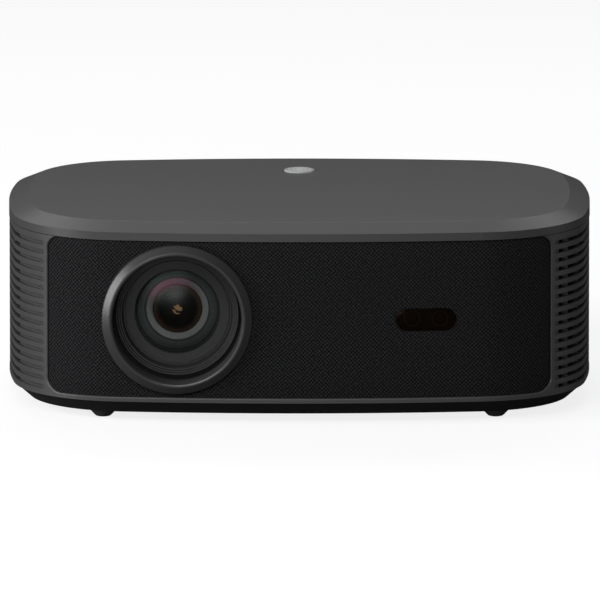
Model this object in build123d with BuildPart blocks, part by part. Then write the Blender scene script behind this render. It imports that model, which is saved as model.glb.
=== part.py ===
from build123d import *

import os
from math import sqrt

# Home projector with a cloth front, a recessed lens on the left and finned sides.
# Millimetres, +Z up, front towards -Y, origin on the table under the middle of the overall box.

# Casing
width = 280.0
depth = 195.0
height = 97.0
ring_proud = 2.0  # the lens trim ring stands this far in front of the casing
wall = 2.4
corner_radius = 57.0
corner_x = 80.5  # centre of each corner arc, from the middle of the casing
corner_y = 35.75
foot_height = 4.5
foot_x = 94.0
foot_y = 71.0
plinth_top = 10.85
plinth_inset = 8.0
flange_inset = 16.0
seam_low = 88.9
skirt_low = 89.15
shoulder = 93.0
chamfer_run = 9.6
lip_low = 86.9
lip_inset = 4.0
gap = 0.15  # free play between fitted casing parts

# Side fins
fin_count = 17
fin_pitch = 4.37
fin_first = 14.7
slot_height = 2.0
groove_depth = 1.6
groove_start = 122.2  # distance from the middle where the grooves begin at the front
groove_full = 124.6  # and where they have run in to their full depth
groove_end = 90.0  # distance from the middle where they stop at the rear
fin_recess = 0.15  # the fins stand this far inside the rest of the casing
fin_margin = 1.0
vent_rear = 50.0  # the slots go right through from here, behind the middle
vent_front = {-1: 50.0, 1: 70.5}  # to here in front of it, on the left and on the right
post_pitch = 12.5
post_inset = 3.3

# Grille
cloth_inset = 1.0
cloth_thick = 0.5
grille_thick = 2.2
grille_width = 239.8
grille_low = 13.3
grille_top = 89.0
grille_corner = 6.5
rim_radius = 0.7  # rounded edge of the casing round the cloth

# Lens
lens_x = -58.4
lens_z = 51.3
ring_radius = 36.0
barrel_radius = 29.6
hood_depth = 16.5  # hood edge behind the front of the trim ring
face_depth = 24.5  # lens face behind the front of the trim ring
face_outer = 25.0
aperture_radius = 20.1
screw_offset = 39.0

# Sensor window and power button
window_x = 60.5
window_z = 51.0
window_size = (28.8, 10.7)
eye_spacing = 13.2
button_y = 55.0
button_radius = 7.4
button_travel = 0.8

# Light engine
beam_y = 28.0
engine_half_y = 32.0
engine_half_z = 30.0
engine_wall = 2.0
engine_left = -92.0
engine_right = 28.0

# Cooling and sound
fan_size = 60.0
fan_thick = 15.0
fan_x = 122.0
fan_y = 8.0
fan_z = 50.0
fan_bore = 27.5
hub_radius = 12.0
blade_tip = 26.5

# Boards
board_z = 13.2
board_thick = 1.6
port_face = 90.0  # outer face of the flat rear port plate
port_floor = 13.0
port_top = 46.0
port_half = 80.0

body_y = ring_proud / 2
casing_front = body_y - depth / 2
casing_rear = body_y + depth / 2
ring_front = casing_front - ring_proud
face_y = ring_front + face_depth


def long_radius(reach, centre_across, centre_along):
    """Radius of the long arc that meets the corner arcs smoothly."""
    room = reach - centre_across
    return (centre_along**2 + room**2 - corner_radius**2) / (2 * (room - corner_radius))


front_radius = long_radius(depth / 2, corner_y, corner_x)
flank_radius = long_radius(width / 2, corner_x, corner_y)


def outline(inset=0.0):
    """Plan of the casing, drawn in by inset: four long arcs joined by four corner arcs."""
    centre = Vector(corner_x, corner_y)
    from_front = (centre - Vector(0, depth / 2 - front_radius)).normalized()
    from_flank = (centre - Vector(width / 2 - flank_radius, 0)).normalized()
    radius = corner_radius - inset
    by_front = centre + from_front * radius
    by_flank = centre + from_flank * radius
    bend = centre + (from_front + from_flank).normalized() * radius
    with BuildSketch(Plane.XY, mode=Mode.PRIVATE) as plan:
        with BuildLine():
            for sx in (1, -1):
                ThreePointArc(
                    (sx * by_flank.X, -by_flank.Y),
                    (sx * (width / 2 - inset), 0),
                    (sx * by_flank.X, by_flank.Y),
                )
                ThreePointArc(
                    (-by_front.X, sx * by_front.Y),
                    (0, sx * (depth / 2 - inset)),
                    (by_front.X, sx * by_front.Y),
                )
                for sy in (1, -1):
                    ThreePointArc(
                        (sx * by_front.X, sy * by_front.Y),
                        (sx * bend.X, sy * bend.Y),
                        (sx * by_flank.X, sy * by_flank.Y),
                    )
        make_face()
    return plan.sketch


def band(outer, inner):
    """Ring between two insets of the casing's plan."""
    with BuildSketch(Plane.XY, mode=Mode.PRIVATE) as ring:
        add(outline(outer))
        add(outline(inner), mode=Mode.SUBTRACT)
    return ring.sketch


def edge_x(y, inset=0.0):
    """How far the plan, drawn in by inset, reaches along X at y from the casing's middle."""
    if abs(y) > corner_y * flank_radius / (flank_radius - corner_radius):
        return corner_x + sqrt((corner_radius - inset) ** 2 - (abs(y) - corner_y) ** 2)
    return width / 2 - flank_radius + sqrt((flank_radius - inset) ** 2 - y**2)


def corner_point(x, inset=0.0):
    """Point of the front right corner arc, drawn in by inset, at x."""
    return Vector(x, -corner_y - sqrt((corner_radius - inset) ** 2 - (x - corner_x) ** 2))


def level(z):
    """Horizontal plane at height z, centred on the casing."""
    return Plane((0, body_y, z))


def grille_shape(grow):
    """Front view of the grille, grown by grow all round."""
    with BuildSketch(Plane.XY, mode=Mode.PRIVATE) as shape:
        with Locations((0, (grille_low + grille_top) / 2)):
            RectangleRounded(grille_width + 2 * grow, grille_top - grille_low + 2 * grow, grille_corner + grow)
    return shape.sketch


def upright(y):
    """Vertical plane at y that faces the front: sketch x is X, sketch y is Z."""
    return Plane.XZ.offset(-y)


def side_plane(x, y, z):
    """Vertical plane that faces +X, centred on a point: sketch x is Y, sketch y is Z."""
    return Plane((x, y, z), x_dir=(0, 1, 0), z_dir=(1, 0, 0))


def crowned(front, rim_front, rim_rear, rear, radius):
    """Half section of a round lens along sketch x, with its axis at sketch y = 0."""
    with BuildSketch(Plane.XY, mode=Mode.PRIVATE) as section:
        with BuildLine():
            Line((front, 0), (rear, 0))
            for tip, rim in ((front, rim_front), (rear, rim_rear)):
                if tip == rim:
                    Line((tip, 0), (rim, radius))
                else:
                    TangentArc((tip, 0), (rim, radius), tangent=(0, 1))
            Line((rim_front, radius), (rim_rear, radius))
        make_face()
    return section.sketch


def keep(piece, name):
    """Labels a finished piece and writes it as its own STEP file."""
    piece.part.label = name
    export_step(piece.part, f"parts/{name}.step")


lens_section = side_plane(lens_x, 0, lens_z)
lens_axis = Axis((lens_x, 0, lens_z), (0, 1, 0))
slot_levels = [fin_first + fin_pitch * step - slot_height / 2 for step in range(fin_count)]
cover_points = [(sx * 70, 80) for sx in (1, -1)] + [(sx * 126, -38) for sx in (1, -1)]
base_points = [(sx * x, body_y + sy * y) for sx in (1, -1) for sy in (1, -1) for x, y in ((40, 83), (113, 50))]
board_points = [(x, y) for x in (-73, 25) for y in (-47, 70)] + [(39, 52), (86, 52), (39, 76), (66, 76)]
fan_points = [(sx * fan_x, fan_y + sy * 24) for sx in (1, -1) for sy in (1, -1)]
foot_points = {"front_feet": body_y - foot_y, "rear_feet": body_y + foot_y}

# ---- Casing ----

with BuildPart() as top_cover:
    with BuildSketch(level(skirt_low)):
        add(outline())
    extrude(amount=shoulder - skirt_low)
    with BuildSketch(level(shoulder)):
        add(outline())
    with BuildSketch(level(height)):
        add(outline(chamfer_run))
    loft(ruled=True)
    fillet(top_cover.edges().group_by(Axis.Z)[-1], radius=0.8)
    with BuildSketch(level(skirt_low)):
        add(outline(wall))
    extrude(amount=shoulder - 1.6 - skirt_low, mode=Mode.SUBTRACT)
    with BuildSketch(level(shoulder - 1.6)):
        add(outline(wall))
    with BuildSketch(level(height - wall)):
        add(outline(chamfer_run + 0.5))
    loft(ruled=True, mode=Mode.SUBTRACT)
    with BuildSketch(level(skirt_low)):
        add(band(wall - 0.5, lip_inset))
    extrude(amount=shoulder - 1 - skirt_low)
    with BuildSketch(level(lip_low)):
        add(band(wall + gap, lip_inset))
        with Locations((0, -depth / 2)):
            Rectangle(grille_width + 10, 80, mode=Mode.SUBTRACT)
    extrude(amount=skirt_low - lip_low)
    # screw bosses, then the button well
    with BuildSketch(Plane.XY.offset(83)):
        with Locations(*cover_points):
            Circle(3.6)
    extrude(amount=height - 1.2 - 83)
    with BuildSketch(Plane.XY.offset(83)):
        with Locations(*cover_points):
            Circle(1.25)
    extrude(amount=8, mode=Mode.SUBTRACT)
    with BuildSketch(Plane.XY.offset(height - wall - 2.6)):
        with Locations((0, button_y)):
            Circle(button_radius + 2)
    extrude(amount=3.6)
    with BuildSketch(Plane.XY.offset(height - 20)):
        with Locations((0, button_y)):
            Circle(button_radius + 0.3)
    extrude(amount=30, mode=Mode.SUBTRACT)
keep(top_cover, "top_cover")

with BuildPart() as mid_shell:
    with BuildSketch(level(plinth_top)):
        add(band(0, wall))
    extrude(amount=height - plinth_top)
    # front window for the grille: its rim is rounded all round before the shell is cut down to the seam
    with BuildSketch(upright(-55)):
        add(grille_shape(gap))
    extrude(amount=60, mode=Mode.SUBTRACT)
    skin = outline(0.1).face()
    rim = mid_shell.edges(Select.LAST).filter_by(
        lambda edge: not skin.is_inside(Vector((edge @ 0.5).X, (edge @ 0.5).Y - body_y, 0))
    )
    fillet(rim, radius=rim_radius)
    with BuildSketch(level(seam_low)):
        Rectangle(2 * width, 2 * depth)
    extrude(amount=height, mode=Mode.SUBTRACT)
    with BuildSketch(level(plinth_top)):
        add(band(wall / 2, flange_inset))
    extrude(amount=2)
    # rear window for the port panel
    with BuildSketch(upright(80)):
        with Locations((0, (port_floor + port_top) / 2)):
            RectangleRounded(2 * port_half, port_top - port_floor, 4)
    extrude(amount=-30, mode=Mode.SUBTRACT)
    # shallow recess round the fins, then the grooves, which run in gently at the front
    with BuildSketch(level(slot_levels[0] - fin_margin)):
        add(band(-1, fin_recess))
        with Locations((0, -depth / 2)):
            Rectangle(2 * (groove_start + fin_margin), depth, mode=Mode.SUBTRACT)
        with Locations((0, depth / 2)):
            Rectangle(2 * (groove_end + fin_margin), depth, mode=Mode.SUBTRACT)
    extrude(amount=slot_levels[-1] - slot_levels[0] + slot_height + 2 * fin_margin, mode=Mode.SUBTRACT)
    tip = corner_point(groove_start)
    run_in = corner_point(groove_full, groove_depth) - tip
    with BuildSketch(*[level(z) for z in slot_levels]):
        add(band(-1, groove_depth))
        ends = [tip + run_in * 2, tip - run_in, Vector(tip.X - run_in.X, -depth)]
        Polygon(
            *[(p.X, p.Y) for p in ends],
            *[(-p.X, p.Y) for p in reversed(ends)],
            align=None,
            mode=Mode.SUBTRACT,
        )
        with Locations((0, depth / 2)):
            Rectangle(2 * groove_end, depth, mode=Mode.SUBTRACT)
    extrude(amount=slot_height, mode=Mode.SUBTRACT)
    with BuildSketch(*[level(z) for z in slot_levels]):
        add(band(-1, wall + 0.6))
        with BuildSketch(mode=Mode.INTERSECT):
            for side, reach in vent_front.items():
                with Locations((side * width / 2, (vent_rear - reach) / 2)):
                    Rectangle(width / 2, vent_rear + reach)
    extrude(amount=slot_height, mode=Mode.SUBTRACT)
    # upright posts that carry the fins where the slots go through
    with BuildSketch(level(plinth_top + 2)):
        for side in (1, -1):
            for step in range(-4 - (side > 0), 5):
                with Locations((side * edge_x(step * post_pitch, post_inset), step * post_pitch)):
                    Rectangle(2.8, 2)
    extrude(amount=slot_levels[-1] + slot_height + 1 - plinth_top - 2)
    # lugs under the cover's screw bosses
    for x, y in cover_points:
        inward = 1 if x > 0 else -1
        with BuildSketch(Plane.XY.offset(80)):
            if abs(x) > 100:
                with Locations((x + inward * 4, y)):
                    Rectangle(14, 8)
            else:
                with Locations((x, y + 5.5)):
                    Rectangle(8, 19)
            with Locations((x, y)):
                Circle(1.5, mode=Mode.SUBTRACT)
        extrude(amount=2.85)
    with BuildSketch(Plane.XY.offset(plinth_top + 1)):
        with Locations(*fan_points):
            Rectangle(10, 8)
    extrude(amount=fan_z - fan_size / 2 - plinth_top - 1)
    with BuildSketch(Plane.XY.offset(plinth_top - 1)):
        with Locations(*base_points):
            Circle(1.3)
    extrude(amount=6, mode=Mode.SUBTRACT)
keep(mid_shell, "mid_shell")

with BuildPart() as base_plate:
    with BuildSketch(level(foot_height)):
        add(outline(plinth_inset))
    with BuildSketch(level(plinth_top)):
        add(outline(0.8))
    loft(ruled=True)
    with BuildSketch(level(foot_height + 2)):
        add(outline(plinth_inset + 1))
    with BuildSketch(level(plinth_top)):
        add(outline(4))
    loft(ruled=True, mode=Mode.SUBTRACT)
    with BuildSketch(Plane.XY.offset(foot_height + 1)):
        with Locations(*base_points):
            Circle(4)
        with Locations((0, body_y)):
            Circle(8)
    extrude(amount=plinth_top - foot_height - 1)
    with BuildSketch(Plane.XY.offset(foot_height + 1)):
        with Locations(*board_points):
            Circle(3)
    extrude(amount=board_z - foot_height - 1)
    with BuildSketch(level(foot_height)):
        with Locations(*[(x, y - body_y) for x, y in base_points]):
            Circle(1.5)
        Circle(4.5)
        with GridLocations(2 * foot_x, 2 * foot_y, 2, 2):
            Circle(2.1)
    extrude(amount=20, mode=Mode.SUBTRACT)
    with BuildSketch(Plane.XY.offset(board_z - 5)):
        with Locations(*board_points):
            Circle(1.2)
    extrude(amount=5, mode=Mode.SUBTRACT)
    with BuildSketch(Plane.XY.offset(foot_height)):
        with Locations(*base_points):
            Circle(3.2)
    extrude(amount=2, mode=Mode.SUBTRACT)
keep(base_plate, "base_plate")

with BuildPart() as tripod_insert:
    with BuildSketch(Plane.XY.offset(foot_height)):
        with Locations((0, body_y)):
            Circle(4.5)
    extrude(amount=8)
    with BuildSketch(Plane.XY.offset(foot_height)):
        with Locations((0, body_y)):
            Circle(2.55)
    extrude(amount=6.5, mode=Mode.SUBTRACT)
keep(tripod_insert, "tripod_insert")

for name, y in foot_points.items():
    with BuildPart() as rubber_feet:
        for x in (-foot_x, foot_x):
            with BuildSketch(Plane((x, y, 0), x_dir=(1, 0, 0), z_dir=(0, -1, 0))):
                Polygon(
                    (0, 0),
                    (2.6, 0),
                    (3.5, 0.25),
                    (4.2, 0.8),
                    (5.6, 2.3),
                    (6.6, 3.4),
                    (7.2, foot_height),
                    (2, foot_height),
                    (2, 8),
                    (0, 8),
                    align=None,
                )
            revolve(axis=Axis((x, y, 0), (0, 0, 1)))
    keep(rubber_feet, name)

# Ports: places along X, outer size, opening, tongue and how far the tongue sits above the middle.
sockets = {
    "hdmi_sockets": ((-56, -34), (15.0, 6.0), (14.0, 4.6), (11.0, 1.2), 0.0),
    "usb_sockets": ((-13, 5), (14.4, 7.0), (12.6, 5.2), (10.6, 1.9), 1.2),
}
socket_floor = board_z + board_thick
jack_x = 22.0
jack_size = 8.0
jack_bore = 1.8
inlet_x = 60.0
inlet_z = 27.0
inlet_size = (24.0, 16.0)
inlet_slot = (15.5, 8.2)

with BuildPart() as rear_panel:
    with BuildSketch(level(port_floor + gap)):
        add(outline(0.6))
    extrude(amount=port_top - port_floor - 2 * gap)
    with BuildSketch(upright(port_face - 2.5)):
        with Locations((0, (port_floor + port_top) / 2)):
            RectangleRounded(2 * (port_half - gap), port_top - port_floor - 2 * gap, 3.8)
    extrude(amount=-30, mode=Mode.INTERSECT)
    with BuildSketch(upright(port_face)):
        with Locations((0, (port_floor + port_top) / 2)):
            RectangleRounded(2 * port_half - 4, port_top - port_floor - 3, 2.4)
    extrude(amount=-30, mode=Mode.SUBTRACT)
    with BuildSketch(upright(port_face + 1)):
        for places, (wide, tall), _, _, _ in sockets.values():
            with Locations(*[(x, socket_floor + tall / 2) for x in places]):
                Rectangle(wide + 2 * gap, tall + 2 * gap)
        with Locations((jack_x, socket_floor + jack_size / 2)):
            Rectangle(jack_size + 2 * gap, jack_size + 2 * gap)
        with Locations((inlet_x, inlet_z)):
            Rectangle(inlet_size[0] + 2 * gap, inlet_size[1] + 2 * gap)
    extrude(amount=10, mode=Mode.SUBTRACT)
keep(rear_panel, "rear_panel")

with BuildPart() as grille_cloth:
    with BuildSketch(level(grille_low)):
        add(band(cloth_inset, cloth_inset + cloth_thick))
    extrude(amount=grille_top - grille_low)
    with BuildSketch(upright(-55)):
        add(grille_shape(0))
        with Locations((lens_x, lens_z)):
            Circle(ring_radius + gap, mode=Mode.SUBTRACT)
        with Locations((window_x, window_z)):
            SlotOverall(window_size[0] + 2 * gap, window_size[1] + 2 * gap, mode=Mode.SUBTRACT)
    extrude(amount=60, mode=Mode.INTERSECT)
keep(grille_cloth, "grille_cloth")

speaker_places = {"left": (12.0, -91.8, 23.0), "right": (97.0, -71.0, 19.0)}
hole_pitch = 5.0

with BuildPart() as grille_frame:
    with BuildSketch(level(grille_low)):
        add(band(cloth_inset + cloth_thick, cloth_inset + cloth_thick + grille_thick))
    extrude(amount=grille_top - grille_low)
    with BuildSketch(upright(-55)):
        add(grille_shape(-0.5))
        with Locations((lens_x, lens_z)):
            Circle(ring_radius + gap, mode=Mode.SUBTRACT)
        with Locations((window_x, window_z)):
            SlotOverall(window_size[0] + 2 * gap, window_size[1] + 2 * gap, mode=Mode.SUBTRACT)
        for x, _, _ in speaker_places.values():
            with Locations((x, window_z)):
                with HexLocations(hole_pitch / 2, 9, 9):
                    Circle(1.6, mode=Mode.SUBTRACT)
    extrude(amount=60, mode=Mode.INTERSECT)
keep(grille_frame, "grille_frame")

with BuildPart() as sensor_window:
    with BuildSketch(level(window_z - 10)):
        add(band(cloth_inset - 0.2, cloth_inset + cloth_thick + 1.5))
    extrude(amount=20)
    with BuildSketch(upright(-55)):
        with Locations((window_x, window_z)):
            SlotOverall(*window_size)
    extrude(amount=60, mode=Mode.INTERSECT)
keep(sensor_window, "sensor_window")

# ---- Lens ----

with BuildPart() as lens_trim_ring:
    with BuildSketch(lens_section):
        Polygon(
            (ring_front, 31.8),
            (ring_front, 32.4),
            (ring_front + 0.3, 32.9),
            (ring_front + 2.5, 35.7),
            (ring_front + 3, ring_radius),
            (ring_front + 18.5, ring_radius),
            (ring_front + 18.5, 33.4),
            (ring_front + 20, 33.4),
            (ring_front + 20, 32.2),
            (ring_front + 13, 32.2),
            (ring_front + 13, 30.8),
            (ring_front + 1.1, 30.8),
            (ring_front + 0.3, 31.2),
            align=None,
        )
    revolve(axis=lens_axis)
keep(lens_trim_ring, "lens_trim_ring")

ridge_count = 3
ridge_run = 1.1
ridge_rise = 1.0
with BuildPart() as lens_front_ring:
    with BuildSketch(lens_section):
        hood_y = ring_front + hood_depth
        hood_radius = barrel_radius - 0.1
        profile = [(face_y + 1.2, hood_radius), (hood_y + 0.4, hood_radius)]
        # stepped ridges down to a plain wall, then a groove round the flat face
        for ridge in range(ridge_count):
            y = hood_y + ridge * ridge_run
            r = hood_radius - 0.3 - ridge * ridge_rise
            profile += [(y, r), (y, r - 0.6), (y + ridge_run - 0.3, r - 0.8)]
        profile += [
            (face_y + 0.7, face_outer + 0.9),
            (face_y + 0.7, face_outer),
            (face_y + 0.2, face_outer),
            (face_y, face_outer - 0.2),
            (face_y, aperture_radius + 0.4),
            (face_y + 0.4, aperture_radius),
            (face_y + 1.2, aperture_radius),
        ]
        Polygon(*profile, align=None)
    revolve(axis=lens_axis)
keep(lens_front_ring, "lens_front_ring")

barrel_front = face_y + 1.2
barrel_rear = -14.0
arm_front = -40.0
arm_rear = -34.0
screw_x = lens_x + screw_offset

with BuildPart() as lens_barrel:
    with BuildSketch(lens_section):
        Polygon(
            (barrel_front, 22.4),
            (barrel_front, barrel_radius),
            (barrel_rear, barrel_radius),
            (barrel_rear, 20.5),
            (barrel_rear - 3, 20.5),
            (barrel_rear - 3, 27),
            (barrel_front + 12, 27),
            (barrel_front + 12, 22.4),
            align=None,
        )
    revolve(axis=lens_axis)
    # arm that carries the focus nut
    with BuildSketch(upright(arm_rear)):
        with Locations((lens_x + (barrel_radius + screw_offset + 3) / 2, lens_z)):
            Rectangle(screw_offset + 5 - barrel_radius + 3, 8)
        with Locations((screw_x, lens_z)):
            Circle(1.56, mode=Mode.SUBTRACT)
    extrude(amount=arm_rear - arm_front)
keep(lens_barrel, "lens_barrel")

with BuildPart() as front_lens:
    with BuildSketch(lens_section):
        add(crowned(barrel_front - 0.6, barrel_front + 3, barrel_front + 7, barrel_front + 8, 22.3))
    revolve(axis=lens_axis)
keep(front_lens, "front_lens")

with BuildPart() as lens_baffle:
    with BuildSketch(lens_section):
        Polygon(
            (barrel_front + 8.2, 19.6),
            (barrel_front + 12, 19.0),
            (barrel_front + 13, 15.6),
            (barrel_front + 15, 15.6),
            (barrel_front + 15, 14.6),
            (barrel_front + 20, 11.9),
            (barrel_front + 22, 11.9),
            (barrel_front + 22, 14),
            (barrel_front + 16, 26.9),
            (barrel_front + 12.1, 26.9),
            (barrel_front + 12.1, 22.3),
            (barrel_front + 8.2, 22.3),
            align=None,
        )
    revolve(axis=lens_axis)
keep(lens_baffle, "lens_baffle")

inner_lenses = {
    "middle_lens": (barrel_front + 22.2, 3.0, 8.0, 13.0),
    "rear_lens": (barrel_rear - 15, 3.0, 9.0, 20.0),
}
for name, (front, bulge, thick, radius) in inner_lenses.items():
    with BuildPart() as inner_lens:
        with BuildSketch(lens_section):
            add(crowned(front, front + bulge, front + thick - bulge, front + thick, radius))
        revolve(axis=lens_axis)
    keep(inner_lens, name)

with BuildPart() as lens_spacer:
    with BuildSketch(lens_section):
        Polygon(
            (barrel_front + 25.3, 13.1),
            (barrel_front + 27.1, 13.1),
            (barrel_rear - 12, 20.1),
            (barrel_rear - 9, 20.1),
            (barrel_rear - 3.1, 20.6),
            (barrel_rear - 3.1, 26.9),
            (barrel_rear - 14, 26.9),
            (barrel_front + 25.3, 16),
            align=None,
        )
    revolve(axis=lens_axis)
keep(lens_spacer, "lens_spacer")

engine_front = beam_y - engine_half_y
engine_low = lens_z - engine_half_z
engine_top = lens_z + engine_half_z
flange_points = [(lens_x + sx * 32, lens_z + sz * 26) for sx in (1, -1) for sz in (1, -1)]

with BuildPart() as lens_housing:
    with BuildSketch(upright(engine_front)):
        with Locations((lens_x, lens_z)):
            RectangleRounded(72, 2 * engine_half_z, 3)
    extrude(amount=4)
    with BuildSketch(upright(engine_front)):
        with Locations((lens_x, lens_z)):
            Circle(33)
    extrude(amount=engine_front - (ring_front + 20.5))
    with BuildSketch(upright(engine_front + 1)):
        with Locations((lens_x, lens_z)):
            Circle(barrel_radius + 0.08)
        with Locations(*flange_points):
            Circle(1.6)
    extrude(amount=100, mode=Mode.SUBTRACT)
    # slot for the focus arm
    with BuildSketch(upright(arm_rear + 6)):
        with Locations((lens_x + 31, lens_z)):
            Rectangle(10, 9)
    extrude(amount=arm_rear - arm_front + 12, mode=Mode.SUBTRACT)
keep(lens_housing, "lens_housing")

screw_front = -50.0
screw_rear = -22.0
with BuildPart() as focus_bracket:
    for y in (screw_front - 1, screw_rear + 2):
        with BuildSketch(upright(y)):
            with Locations((screw_x + 0.5, lens_z)):
                Rectangle(10, 10)
            with Locations((screw_x, lens_z)):
                Circle(1.56, mode=Mode.SUBTRACT)
        extrude(amount=1.5)
    with BuildSketch(upright(screw_rear + 2)):
        with Locations((screw_x + 6.3, lens_z)):
            Rectangle(1.6, 10)
    extrude(amount=screw_rear - screw_front + 4.5)
keep(focus_bracket, "focus_bracket")

with BuildPart() as focus_screw:
    with BuildSketch(upright(screw_rear + 3)):
        with Locations((screw_x, lens_z)):
            Circle(1.5)
    extrude(amount=screw_rear - screw_front + 6)
    with BuildSketch(upright(screw_front - 3)):
        with Locations((screw_x, lens_z)):
            Circle(2.5)
            Rectangle(2.4, 5.4)
    extrude(amount=1.5)
keep(focus_screw, "focus_screw")

with BuildPart() as focus_motor:
    with BuildSketch(upright(engine_front - 4.2)):
        with Locations((screw_x, lens_z)):
            Circle(5)
    extrude(amount=engine_front - 4.2 - screw_rear - 3)
    with BuildSketch(upright(screw_rear + 2.9)):
        with Locations((screw_x, lens_z)):
            Circle(1.56)
    extrude(amount=-3, mode=Mode.SUBTRACT)
keep(focus_motor, "focus_motor")

# ---- Light engine ----

plates = {
    "field_lens": (-14.0, 2.0),
    "lcd_panel": (-8.0, 3.0),
    "heat_glass": (-1.0, 1.2),
    "condenser_lens": (6.0, 2.0),
}
plate_size = (59.0, 55.0)
engine_middle = (engine_left + engine_right) / 2
engine_length = engine_right - engine_left

with BuildPart() as engine_housing:
    with BuildSketch(Plane.XY.offset(engine_low)):
        with Locations((engine_middle, beam_y)):
            Rectangle(engine_length, 2 * engine_half_y)
    extrude(amount=2 * engine_half_z)
    with BuildSketch(Plane.XY.offset(engine_low + engine_wall)):
        with Locations((engine_middle, beam_y)):
            Rectangle(engine_length - 2 * engine_wall, 2 * (engine_half_y - engine_wall))
    extrude(amount=100, mode=Mode.SUBTRACT)
    with BuildSketch(Plane.XY.offset(engine_low + 1)):
        for x, thick in plates.values():
            for side in (1, -1):
                rib_x = x + side * (thick / 2 + 1)
                with Locations((rib_x, beam_y - engine_half_y + 3), (rib_x, beam_y + engine_half_y - 3)):
                    Rectangle(1.6, 3)
    extrude(amount=2 * engine_half_z - 6)
    with BuildSketch(upright(engine_front + 5)):
        with Locations((lens_x, lens_z)):
            Circle(24)
        with Locations(*flange_points):
            Circle(1.2)
    extrude(amount=20, mode=Mode.SUBTRACT)
    with BuildSketch(side_plane(engine_right - 5, beam_y, lens_z)):
        Rectangle(30, 30)
    extrude(amount=20, mode=Mode.SUBTRACT)
keep(engine_housing, "engine_housing")

with BuildPart() as engine_cover:
    with BuildSketch(Plane.XY.offset(engine_top)):
        with Locations((engine_middle, beam_y)):
            RectangleRounded(engine_length, 2 * engine_half_y, 2)
    extrude(amount=2)
keep(engine_cover, "engine_cover")

for name, (x, thick) in plates.items():
    with BuildPart() as optic_plate:
        with BuildSketch(side_plane(x - thick / 2, beam_y, lens_z - 0.3)):
            Rectangle(*plate_size)
        extrude(amount=thick)
    keep(optic_plate, name)

with BuildPart() as fold_mirror:
    with Locations(Location((lens_x - 1.1, beam_y + 1.1, lens_z), (0, 0, 45))):
        Box(66, 3, 54)
keep(fold_mirror, "fold_mirror")

with BuildPart() as collimator_lens:
    with BuildSketch(Plane((0, beam_y, lens_z), x_dir=(1, 0, 0), z_dir=(0, -1, 0))):
        add(crowned(12, 20, 22, 22, 22))
    revolve(axis=Axis((0, beam_y, lens_z), (1, 0, 0)))
keep(collimator_lens, "collimator_lens")

with BuildPart() as led_module:
    with BuildSketch(side_plane(engine_right, beam_y, lens_z)):
        Rectangle(46, 46)
    extrude(amount=3)
    with BuildSketch(side_plane(engine_right, beam_y, lens_z)):
        Rectangle(14, 14)
    extrude(amount=-2.2)
keep(led_module, "led_module")

sink_x = engine_right + 3
sink_fins = 13
with BuildPart() as heat_sink:
    with BuildSketch(side_plane(sink_x, beam_y, lens_z)):
        Rectangle(60, 60)
    extrude(amount=5)
    with BuildSketch(side_plane(sink_x + 4.5, beam_y, lens_z)):
        with GridLocations(1, 58.8 / (sink_fins - 1), 1, sink_fins):
            Rectangle(60, 1.2)
    extrude(amount=42)
keep(heat_sink, "heat_sink")

# ---- Cooling ----

blade_count = 7
for side_name, side in (("left", -1), ("right", 1)):
    back = side_plane(side * fan_x - fan_thick / 2, fan_y, fan_z)
    middle = side_plane(side * fan_x, fan_y, fan_z)
    with BuildPart() as fan_frame:
        with BuildSketch(back):
            RectangleRounded(fan_size, fan_size, 4)
            Circle(fan_bore, mode=Mode.SUBTRACT)
            with GridLocations(50, 50, 2, 2):
                Circle(2.2, mode=Mode.SUBTRACT)
        extrude(amount=fan_thick)
        with BuildSketch(back):
            Circle(hub_radius)
            with Locations((0, 0)):
                Rectangle(2 * fan_bore + 1, 3)
                Rectangle(3, 2 * fan_bore + 1)
        extrude(amount=2)
        with BuildSketch(back):
            Circle(1.5)
        extrude(amount=10)
    keep(fan_frame, f"fan_frame_{side_name}")
    with BuildPart(middle) as fan_rotor:
        with Locations((0, 0, 0.5)):
            Cylinder(hub_radius, 10)
        with PolarLocations((hub_radius - 0.6 + blade_tip) / 2, blade_count):
            Box(blade_tip - hub_radius + 0.6, 1.2, 11, rotation=(side * 40, 0, 0))
        with BuildSketch(Plane(middle.origin, x_dir=middle.x_dir, z_dir=middle.z_dir).offset(-6)):
            Circle(1.56)
        extrude(amount=9, mode=Mode.SUBTRACT)
    keep(fan_rotor, f"fan_rotor_{side_name}")

with BuildPart() as dust_filter:
    with BuildSketch(side_plane(-fan_x - fan_thick / 2 - 2.6, fan_y, fan_z)):
        Rectangle(fan_size, fan_size)
    extrude(amount=2.4)
keep(dust_filter, "dust_filter")

# ---- Sound ----

for name, (x, y, radius) in speaker_places.items():
    section = side_plane(x, y, window_z)
    axis = Axis((x, y, window_z), (0, 1, 0))
    with BuildPart() as speaker:
        with BuildSketch(section):
            Polygon(
                (0, radius - 3),
                (0, radius),
                (2, radius),
                (2, radius - 1.5),
                (12, radius * 0.6),
                (22, radius * 0.6),
                (22, 0),
                (11, 0),
                (11, radius * 0.6 - 2),
                (2, radius - 3),
                align=None,
            )
        revolve(axis=axis)
    keep(speaker, f"speaker_{name}")

with BuildPart() as speaker_cones:
    for x, y, radius in speaker_places.values():
        with BuildSketch(side_plane(x, y, window_z)):
            Polygon((3, 0), (3, 5), (1, radius - 3.2), (1.8, radius - 3.2), (10.5, 5), (10.5, 0), align=None)
        revolve(axis=Axis((x, y, window_z), (0, 1, 0)))
keep(speaker_cones, "speaker_cones")

# ---- Boards and ports ----

with BuildPart() as main_board:
    with BuildSketch(Plane.XY.offset(board_z)):
        with Locations((-24, 17.5)):
            RectangleRounded(108, 139, 2)
        with Locations(*board_points[:4]):
            Circle(1.5, mode=Mode.SUBTRACT)
    extrude(amount=board_thick)
keep(main_board, "main_board")

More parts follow.
